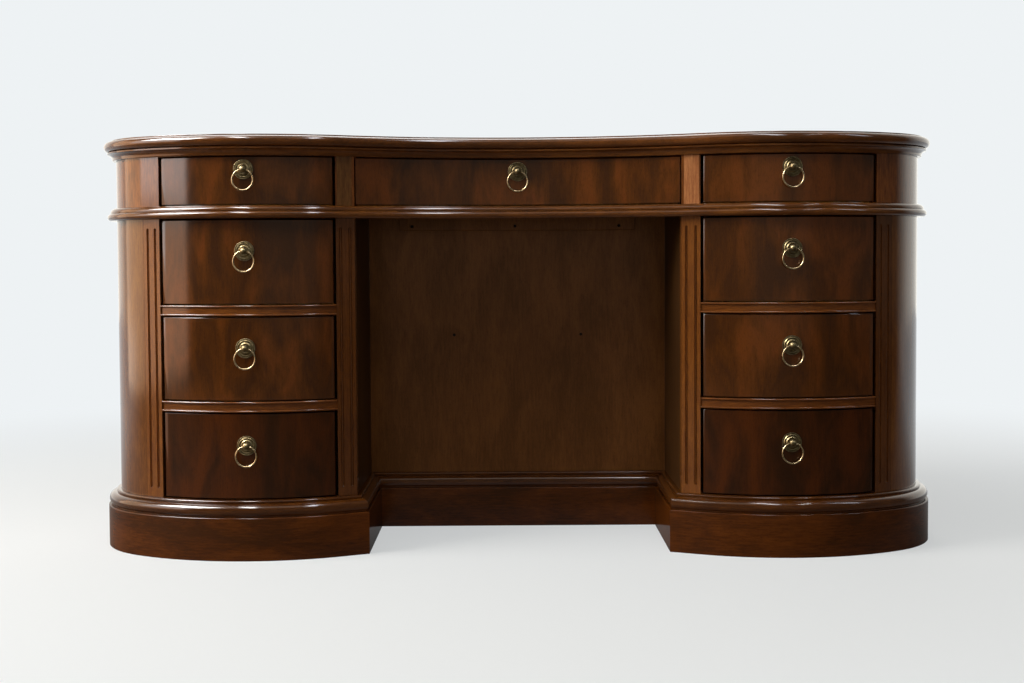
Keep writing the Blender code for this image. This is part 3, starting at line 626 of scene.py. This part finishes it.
# Drawer fronts. Bowed mahogany cores with dark figured veneer on the face, arrises just
# eased, set back a little from the stiles. The dovetailed boxes are fixed behind them.
DRAWER_RECESS = 0.0025
FRONT_THICKNESS = 0.020
DRAWER_EASE = 0.0007
front_wood = mahogany("mahogany_drawer_veneer", "3f2109", "512a09", "66350f", UPRIGHT, cloudy=0.82)
# The lowest drawers are painted darker, painted shade for the dimmer light low down, and their
# lacquer is duller.
shaded_low_front_wood = mahogany("mahogany_drawer_veneer_painted_shade", "2d1504", "3b1b04", "4b2205", UPRIGHT,
                          0.13, 0.6, 0.82)


def bowed_board(x0, x1, z0, z1):
    """A board bent to the front, in edit mode."""
    inner = -DRAWER_RECESS - FRONT_THICKNESS
    draw([(inner, z0), (-DRAWER_RECESS, z0), (-DRAWER_RECESS, z1), (inner, z1)])
    carry(HOLLOW, BULGE, END)
    cut_off((x1, 0, 0), (1, 0, 0))
    if x0 > 0:
        cut_off((x0, 0, 0), (-1, 0, 0))


for drawer in ("frieze_drawer", "drawer_1", "drawer_2", "drawer_3"):
    low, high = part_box(f"right_{drawer}_front")
    bowed_board(low[0], high[0], low[2], high[2])
    true_up()
    ease(DRAWER_EASE)
    # The lowest drawers take the darker veneer: painted shade.
    wood = shaded_low_front_wood if drawer == "drawer_3" else front_wood
    right = fit(f"right_{drawer}_bowed_front", wood, "drawer_front_mahogany",
                [f"right_{drawer}_front"], f"right_{drawer}")
    other_side(right, f"left_{drawer}_bowed_front", [f"left_{drawer}_front"], f"left_{drawer}")

low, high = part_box("centre_drawer_front")
bowed_board(0, high[0], low[2], high[2])
both_sides()
true_up()
ease(DRAWER_EASE)
fit("centre_drawer_bowed_front", front_wood, "drawer_front_mahogany", ["centre_drawer_front"],
    "centre_drawer")


# Drawer boxes. Sides, back and bottom of pale hardwood, planed and left bare, glued up with
# the bottom grooved in. These keep the shape of the CAD parts, and the wood has no lacquer.
box_wood = mahogany("bare_drawer_hardwood", "8a6238", "a87d4e", "c19a68", ALONG, 0.5, 0.0, 0.4)
DRAWERS = [f"{side}_{kind}" for side in ("left", "right")
           for kind in ("frieze_drawer", "drawer_1", "drawer_2", "drawer_3")] + ["centre_drawer"]
for drawer in DRAWERS:
    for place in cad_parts[f"{drawer}_box"].material_slots:
        place.material = box_wood


# Rails between the drawers. A bowed mahogany rail with a bead and a quirk along its top, a sunk
# band and a smaller bead below, dovetailed to the stiles, with a dust board grooved in behind.
RAIL_HEIGHT = 0.0195
RAIL_BEAD = 0.0042
RAIL_SINK = 0.0030
RAIL_QUIRK = 0.0042
RAIL_DEPTH = 0.045
RAIL_BOTTOMS = (0.436, 0.263)
DUST_BOARD_FRONT_Y = -0.235
DUST_BOARD_INSET = 0.004
rail_wood = mahogany("mahogany_rail", "5e3210", "6e3c13", "7f4818", ROUND, 0.12, 1.0, 0.4)
for number, bottom in enumerate(RAIL_BOTTOMS, 1):
    top = bottom + RAIL_HEIGHT
    rail_section = [(-RAIL_DEPTH, bottom)]
    rail_section += bow((-0.0016, bottom + 0.0019), 0.0018, -80, 70, 8)
    rail_section += [(-RAIL_SINK, bottom + 0.0040), (-RAIL_SINK, top - RAIL_BEAD - 0.0010),
                     (-RAIL_QUIRK, top - RAIL_BEAD - 0.0008), (-RAIL_QUIRK, top - RAIL_BEAD)]
    rail_section += bow((-0.0017, top - 0.0020), 0.0019, -70, 80, 8)
    rail_section += [(-RAIL_DEPTH, top)]
    draw(rail_section)
    carry(HOLLOW, BULGE, END)
    cut_off((STILE_OUTER_X + HAIRLINE, 0, 0), (-1, 0, 0))
    cut_off((OPENING_OUTER_X - HAIRLINE, 0, 0), (1, 0, 0))
    true_up()
    rail = fit(f"right_rail_{number}", rail_wood, "rail_mahogany", [f"right_divider_{number}"])
    other_side(rail, f"left_rail_{number}", [f"left_divider_{number}"])
    low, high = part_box(f"right_divider_{number}")
    block((low[0], DUST_BOARD_FRONT_Y, bottom + DUST_BOARD_INSET),
          (high[0], high[1], top - DUST_BOARD_INSET))
    bpy.ops.mesh.bevel(offset=ARRIS, segments=1)
    true_up()
    dust = fit(f"right_dust_board_{number}", inside_wood, "inside_mahogany")
    other_side(dust, f"left_dust_board_{number}")


# Kneehole. Flat veneered cheeks and back panel in a thin satin finish, with a batten screwed
# across the top of the panel, and two screws that hold the bookcase shelf behind it.
# The panel's veneer is painted lighter: painted light for the kneehole, which the lamps reach
# little.
lit_knee_wood = mahogany("mahogany_kneehole_veneer_painted_light", "5b3714", "663e1a", "73471f", UPRIGHT, 0.3, 0.4,
                     0.6)
# The cheeks are a darker copy of the panel's veneer: painted shade for the sides of the kneehole.
shaded_cheek_wood = mahogany("mahogany_cheek_painted_shade", "3b230d", "442a12", "4f3115", UPRIGHT, 0.3, 0.4, 0.6)
for name, wood in (("left_cheek", shaded_cheek_wood), ("right_cheek", shaded_cheek_wood),
                   ("kneehole_panel", lit_knee_wood), ("base_board", inside_wood),
                   ("frieze_deck", inside_wood)):
    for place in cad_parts[name].material_slots:
        place.material = wood

BATTEN_SCREWS = (-0.210, -0.004, 0.204)
BATTEN_SCREW_HEIGHT = 0.601
SCREW_HOLE_RADIUS = 0.0034
SCREW_HOLE_DEPTH = 0.012
SCREW_SINK = 0.004
SCREW_EASE = 0.0003
HEAD_THICKNESS = 0.0016
HEAD_EASE = 0.0004
HEAD_SLOT_WIDTH = 0.0007
HEAD_SLOT_DEPTH = 0.0012
BATTEN_EASE = 0.0012
PANEL_SCREWS = (-0.1275, 0.1275)
PANEL_SCREW_HEIGHT = 0.383
PANEL_SCREW_RADIUS = 0.0030
# Screw steel, blackened and spotted with rust, which takes the shine off it.
screw_steel = bpy.data.materials.new("blackened_screw_steel")
screw_steel.use_nodes = True
dark_steel = screw_steel.node_tree.nodes["Principled BSDF"]
dark_steel.inputs["Metallic"].default_value = 1.0
dark_steel.inputs["Roughness"].default_value = 0.5
rust = add(screw_steel.node_tree, "ShaderNodeTexNoise", Scale=900.0, Detail=2.0,
           Vector=add(screw_steel.node_tree, "ShaderNodeTexCoord").outputs["Object"])
blued = add(screw_steel.node_tree, "ShaderNodeValToRGB", Fac=rust.outputs["Fac"])
blued.color_ramp.elements[0].color = linear("15110f")
blued.color_ramp.elements[1].color = linear("3a332e")
screw_steel.node_tree.links.new(blued.outputs[0], dark_steel.inputs["Base Color"])


def forward_rod(x, y, z, radius, depth, steps=24):
    """A short rod that points to the front, in edit mode; y is the middle of its length."""
    bpy.ops.mesh.primitive_cylinder_add(radius=radius, depth=depth, vertices=steps,
                                        location=(x, y, z), rotation=(math.pi / 2, 0, 0))
    bpy.ops.object.transform_apply(location=True, rotation=True, scale=True)
    bpy.ops.object.mode_set(mode="EDIT")


low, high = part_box("panel_batten")
block(low, high)
true_up()
ease(BATTEN_EASE)
batten = bpy.context.object
for x in BATTEN_SCREWS:
    forward_rod(x, low[1], BATTEN_SCREW_HEIGHT, SCREW_HOLE_RADIUS, SCREW_HOLE_DEPTH)
    bpy.ops.object.mode_set(mode="OBJECT")
    carve(batten, bpy.context.object)
# The batten takes the panel's lighter veneer: painted light.
fit("batten_drilled", lit_knee_wood, "inside_mahogany", ["panel_batten"])

panel_front_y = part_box("kneehole_panel")[0][1]
screw_spots = [(x, low[1] + SCREW_SINK, BATTEN_SCREW_HEIGHT, SCREW_HOLE_RADIUS - SCREW_EASE)
               for x in BATTEN_SCREWS]
screw_spots += [(x, panel_front_y - 0.0002, PANEL_SCREW_HEIGHT, PANEL_SCREW_RADIUS)
                for x in PANEL_SCREWS]
for number, (x, y, z, radius) in enumerate(screw_spots, 1):
    forward_rod(x, y, z, radius, HEAD_THICKNESS)
    true_up()
    ease(HEAD_EASE)
    head = bpy.context.object
    for turn in (0, math.pi / 2):
        bpy.ops.mesh.primitive_cube_add(size=1, location=(x, y - HEAD_THICKNESS / 2, z),
                                        rotation=(0, turn, 0))
        bpy.context.object.scale = (radius * 1.3, HEAD_SLOT_DEPTH, HEAD_SLOT_WIDTH)
        bpy.ops.object.transform_apply(location=True, rotation=True, scale=True)
        carve(head, bpy.context.object)
    fit(f"kneehole_screw_{number}", screw_steel, "inside_mahogany")


# Bookcase shelf. One mahogany board let into the cheeks, its back edge bowed to the outline
# and eased. Nothing of it shows from the front but the screws.
SHELF_OUT = -0.010
SHELF_HALF = 0.2967
SHELF_RUN = 0.5
SHELF_EASE = 0.0015
low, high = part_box("bookcase_shelf")
draw([(SHELF_OUT, low[2]), (SHELF_OUT, high[2])], closed=False)
carry(HOLLOW, BULGE, END, REAR, BACK)
bpy.ops.mesh.select_all(action="SELECT")
bpy.ops.mesh.bisect(plane_co=(SHELF_HALF, 0, 0), plane_no=(1, 0, 0), clear_outer=True)
pick(lambda co: co.y < 0)
bpy.ops.mesh.delete(type="VERT")
bpy.ops.mesh.select_all(action="SELECT")
bpy.ops.mesh.extrude_region_move(TRANSFORM_OT_translate={"value": (0, -SHELF_RUN, 0)})
bpy.ops.mesh.select_all(action="SELECT")
bpy.ops.mesh.bisect(plane_co=(0, low[1], 0), plane_no=(0, -1, 0), use_fill=True, clear_outer=True)
both_sides()
true_up()
ease(SHELF_EASE)
fit("bookcase_shelf_board", inside_wood, "inside_mahogany", ["bookcase_shelf"])


# Plinth moulding. Solid mahogany with a bead, a quirk and a round nose, in bent lengths round
# the pedestals and straight ones round the kneehole, mitred where they meet.
base_wood = mahogany("mahogany_plinth_moulding", "422107", "4e2808", "5a310c", ROUND, 0.12, 1.0, 0.5)
BASE_BOTTOM = 0.0778
BASE_TOP = 0.106
KNEE_X = 0.297
KNEE_Y = -0.005
KNEE_RUN = 0.45
KNEE_RUN_PAST = 0.05
BASE_REACH = 0.0218
base_section = ([(0.0003, BASE_BOTTOM), (0.0170, BASE_BOTTOM), (0.0170, 0.0795)]
                + bow((0.0098, 0.0885), 0.0120, -48, 84, 13)
                + [(0.0088, 0.1006), (0.0074, 0.1011)]
                + bow((0.0060, 0.1034), 0.0026, -50, 85, 7)
                + [(0.0003, BASE_TOP)])


def knee_corner(out):
    """The outline's corner at the kneehole's right edge, moved out."""
    return Vector((KNEE_X - out, front_y(KNEE_X - out, out), 0))


def mitre_normal(reach):
    """The direction across the mitre at that corner, pointing back to the kneehole."""
    line = knee_corner(reach) - knee_corner(0)
    return Vector((line.y, -line.x, 0)).normalized()


def run_straight(section, start, forwards, along, length):
    """Draw the section at a place, facing forwards, and draw it out along a direction."""
    draw(section)
    bpy.ops.transform.translate(value=(start[0], start[1] - middle_y, 0))
    if forwards == "kneehole":
        bpy.ops.object.mode_set(mode="OBJECT")
        piece = bpy.context.object
        turn = Matrix.Rotation(-math.pi / 2, 4, "Z")
        spot = Matrix.Translation((start[0], start[1], 0))
        piece.matrix_world = spot @ turn @ spot.inverted()
        bpy.ops.object.transform_apply(location=True, rotation=True, scale=True)
        bpy.ops.object.mode_set(mode="EDIT")
        bpy.ops.mesh.select_all(action="SELECT")
    stretch = [length * share for share in along]
    bpy.ops.mesh.extrude_region_move(TRANSFORM_OT_translate={"value": stretch})


def round_kneehole(section, reach, name, material, slot, node):
    """Run a section round the pedestals and the kneehole in five mitred lengths."""
    corner = knee_corner(0)
    across = mitre_normal(reach)
    draw(section)
    carry(HOLLOW, BULGE, END)
    cut_off(corner, across)
    pick(lambda co: co.y > end_y - MERGE)
    carry(REAR, BACK)
    both_sides()
    true_up()
    bent = bpy.context.object
    run_straight(section, (KNEE_X, KNEE_Y + KNEE_RUN_PAST), "kneehole", (0, -1, 0), KNEE_RUN)
    cut_off(corner, -across)
    cut_off((KNEE_X, KNEE_Y, 0), (-1, 1, 0))
    both_sides()
    true_up()
    side = bpy.context.object
    run_straight(section, (0, KNEE_Y), "front", (1, 0, 0), KNEE_RUN)
    cut_off((KNEE_X, KNEE_Y, 0), (1, -1, 0))
    both_sides()
    true_up()
    back = bpy.context.object
    join_up([bent, side])
    both = bpy.context.object
    fit(name, material, slot, [node])
    bpy.context.view_layer.objects.active = back
    back.select_set(True)
    fit(name + "_kneehole_back", material, slot)
    return both


round_kneehole(base_section, BASE_REACH, "plinth_moulding_run", base_wood, "moulding_mahogany",
               "plinth_moulding")


# Plinth. Mahogany boards bent round the ends and mitred at the kneehole, with the top arris
# eased, standing flat on the floor.
PLINTH_OUT = 0.0232
PLINTH_IN = -0.0088
PLINTH_TOP = 0.0775
PLINTH_FOOT_EASE = 0.0006
PLINTH_ARRIS = 0.0026
plinth_wood = mahogany("mahogany_plinth", "3d1e05", "4d2506", "5e2f09", ROUND, 0.13, 0.5, 0.6)
plinth_section = ([(PLINTH_IN, 0), (PLINTH_OUT - PLINTH_FOOT_EASE, 0),
                   (PLINTH_OUT, PLINTH_FOOT_EASE)]
                  + bow((PLINTH_OUT - PLINTH_ARRIS, PLINTH_TOP - PLINTH_ARRIS), PLINTH_ARRIS,
                        0, 90, 6)
                  + [(PLINTH_IN, PLINTH_TOP)])
round_kneehole(plinth_section, PLINTH_OUT, "plinth_run", plinth_wood, "plinth_mahogany", "plinth")


# Pulls. Each has a turned brass backplate with ridges, a neck and a ball in one, and a ring of
# brass wire, thinner towards the ball that it turns in. The brass has aged to a patchy brown.
PULL_STEPS = 48
BALL_RADIUS = 0.0065
BALL_OUT = 0.0095
NECK_RADIUS = 0.0034
RING_RADIUS = 0.0185
WIRE_RADIUS = 0.0015
WIRE_TAPER = 0.0003
RING_EYE = 0.95
RING_TAPER_REACH = 0.036
TARNISH_PATCH = 0.006
PLATE_SECTION = [(0.0040, 0.0034), (0.0050, 0.0024), (0.0064, 0.0022), (0.0078, 0.0031),
                 (0.0090, 0.0034), (0.0100, 0.0027), (0.0108, 0.0017), (0.0120, 0.0016),
                 (0.0130, 0.0025), (0.0138, 0.0028), (0.0146, 0.0020), (0.0152, 0.0013),
                 (0.0162, 0.0014), (0.0170, 0.0021), (0.0175, 0.0019), (0.0177, 0.0011),
                 (0.0177, 0.0)]


def brass(name, dull, bright, roughness):
    """Aged brass: patchy brown tarnish over yellow metal, rougher where it is thick."""
    material = bpy.data.materials.new(name)
    material.use_nodes = True
    tree = material.node_tree
    shader = tree.nodes["Principled BSDF"]
    shader.inputs["Metallic"].default_value = 1.0
    place = add(tree, "ShaderNodeTexCoord").outputs["Object"]
    patch = add(tree, "ShaderNodeTexNoise", Vector=place, Scale=1 / TARNISH_PATCH, Detail=4.0,
                Roughness=0.6)
    tone = add(tree, "ShaderNodeValToRGB", Fac=patch.outputs["Fac"])
    tone.color_ramp.elements[0].position = 0.36
    tone.color_ramp.elements[0].color = linear(dull)
    tone.color_ramp.elements[1].position = 0.62
    tone.color_ramp.elements[1].color = linear(bright)
    tree.links.new(tone.outputs[0], shader.inputs["Base Color"])
    worn = add(tree, "ShaderNodeMapRange", Value=patch.outputs["Fac"], _1=0.3, _2=0.7,
               _3=roughness + 0.08, _4=roughness - 0.06)
    tree.links.new(worn.outputs[0], shader.inputs["Roughness"])
    return material


rosette_brass = brass("aged_brass_rosette", "5c503a", "8c7c5a", 0.40)
ring_brass = brass("rubbed_brass_wire", "a48f6c", "c4ad86", 0.28)

for drawer in DRAWERS:
    low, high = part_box(f"{drawer}_pull_plate")
    x = (low[0] + high[0]) / 2
    z = (low[2] + high[2]) / 2
    face = high[1]
    stem = math.degrees(math.acos(NECK_RADIUS / BALL_RADIUS))
    lathe = [(max(r, 0), h) for r, h in bow((0, BALL_OUT), BALL_RADIUS, 90, -stem, 12)]
    lathe += PLATE_SECTION
    bpy.ops.mesh.primitive_plane_add(size=MERGE, location=(x, face - lathe[0][1], z))
    bpy.ops.object.transform_apply(location=True, rotation=False, scale=False)
    bpy.ops.object.mode_set(mode="EDIT")
    bpy.ops.mesh.merge(type="CENTER")
    for (r0, h0), (r1, h1) in zip(lathe, lathe[1:] + [(0, 0)]):
        bpy.ops.mesh.extrude_region_move(TRANSFORM_OT_translate={"value": (r1 - r0, h0 - h1, 0)})
    bpy.ops.mesh.select_all(action="SELECT")
    bpy.ops.mesh.spin(steps=PULL_STEPS, angle=2 * math.pi, center=(x, 0, z), axis=(0, 1, 0))
    true_up()
    fit(f"{drawer}_rosette", rosette_brass, "rosette_brass", [f"{drawer}_pull_plate"], drawer)
    ring_low, ring_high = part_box(f"{drawer}_pull_ring")
    spot = [(a + b) / 2 for a, b in zip(ring_low, ring_high)]
    bpy.ops.mesh.primitive_torus_add(major_radius=RING_RADIUS, minor_radius=WIRE_RADIUS,
                                     major_segments=72, minor_segments=20, location=spot,
                                     rotation=(math.pi / 2, 0, 0))
    bpy.ops.object.transform_apply(location=True, rotation=True, scale=True)
    bpy.ops.object.mode_set(mode="EDIT")
    true_up()
    bpy.ops.object.mode_set(mode="EDIT")
    pick(lambda co: co.z > spot[2] + RING_EYE * RING_RADIUS)
    bpy.ops.transform.shrink_fatten(
        value=-WIRE_TAPER, use_proportional_edit=True, proportional_edit_falloff="SMOOTH",
        proportional_size=RING_TAPER_REACH)
    bpy.ops.object.mode_set(mode="OBJECT")
    fit(f"{drawer}_ring_wire", ring_brass, "ring_brass", [f"{drawer}_pull_ring"], f"{drawer}_ring")
